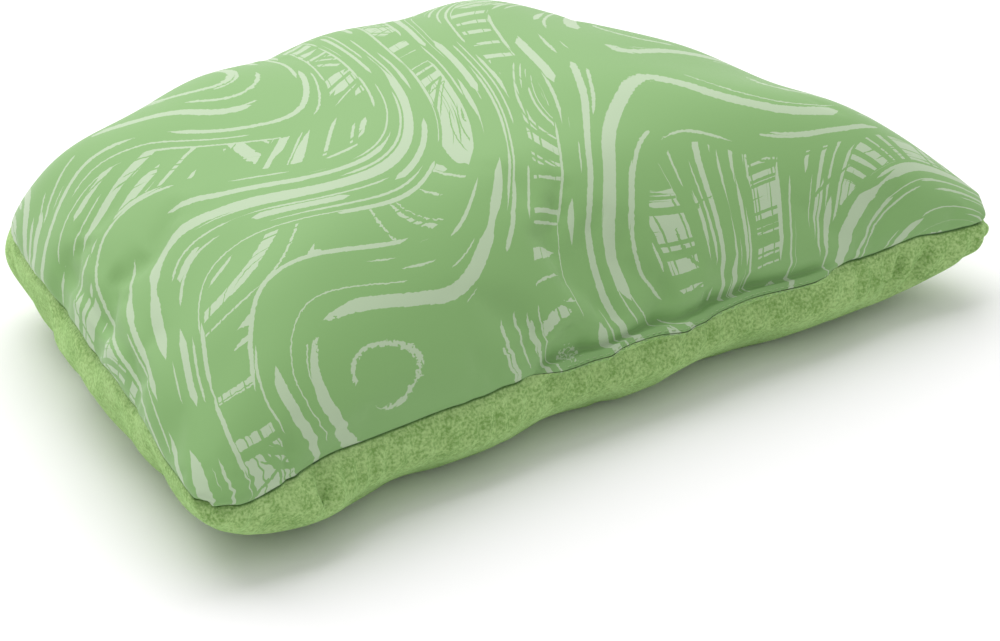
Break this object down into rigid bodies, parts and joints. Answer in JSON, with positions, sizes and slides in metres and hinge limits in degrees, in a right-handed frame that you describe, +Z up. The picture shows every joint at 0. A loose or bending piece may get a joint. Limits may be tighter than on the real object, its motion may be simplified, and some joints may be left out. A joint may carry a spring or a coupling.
{
  "type": "camp pillow",
  "caption": "Soft foam-filled camp pillow with a printed cloth top and a fleece underside, wide at the front and narrower at the rear.",
  "frame": {"origin": "on the surface the pillow rests on, on the centre line and half way along its depth", "axes": "+X along the long front edge, +Y from the long front edge to the short rear edge, +Z up"},
  "size_m": [0.4182, 0.2657, 0.118],
  "materials": {
    "printed_cloth": "smooth woven polyester, faint sheen",
    "fleece": "short matt nap",
    "foam": "open cell foam, matt",
    "thread": "spun polyester thread"
  },
  "bodies": {
    "root": {"top_panel": "printed_cloth", "bottom_panel": "fleece", "foam_core": "foam", "seam_needle_thread": "thread", "seam_bobbin_thread": "thread", "overlock_thread": "thread", "closing_needle_thread": "thread", "closing_bobbin_thread": "thread"}
  },
  "joints": []
}
